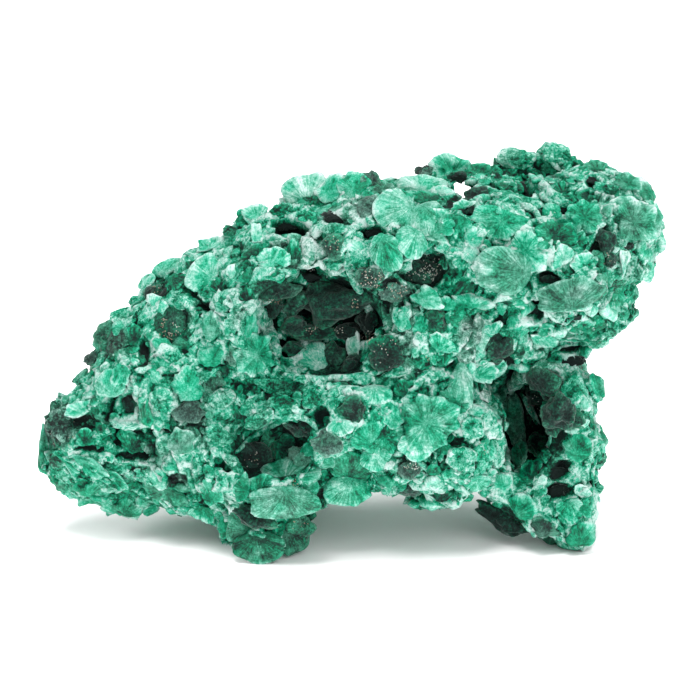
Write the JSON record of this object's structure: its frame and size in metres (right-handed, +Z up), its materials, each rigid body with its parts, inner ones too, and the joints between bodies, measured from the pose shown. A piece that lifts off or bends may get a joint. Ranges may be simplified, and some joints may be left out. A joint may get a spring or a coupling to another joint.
{
  "type": "malachite specimen",
  "caption": "Rough hand specimen of fibrous, botryoidal green malachite, lumpy and full of pockets, standing free on three small feet.",
  "frame": {"origin": "On the standing plane, under the middle of the bounding box.", "axes": "+Z up. +X to the right of the show face, along the longest extent. +Y away from the viewer of the show face."},
  "size_m": [0.1, 0.0434, 0.0627],
  "materials": {
    "malachite": "fibrous, silky to velvety, pale on the ridges and nearly black in the pockets"
  },
  "bodies": {
    "root": {"malachite_stone": "malachite"}
  },
  "joints": []
}
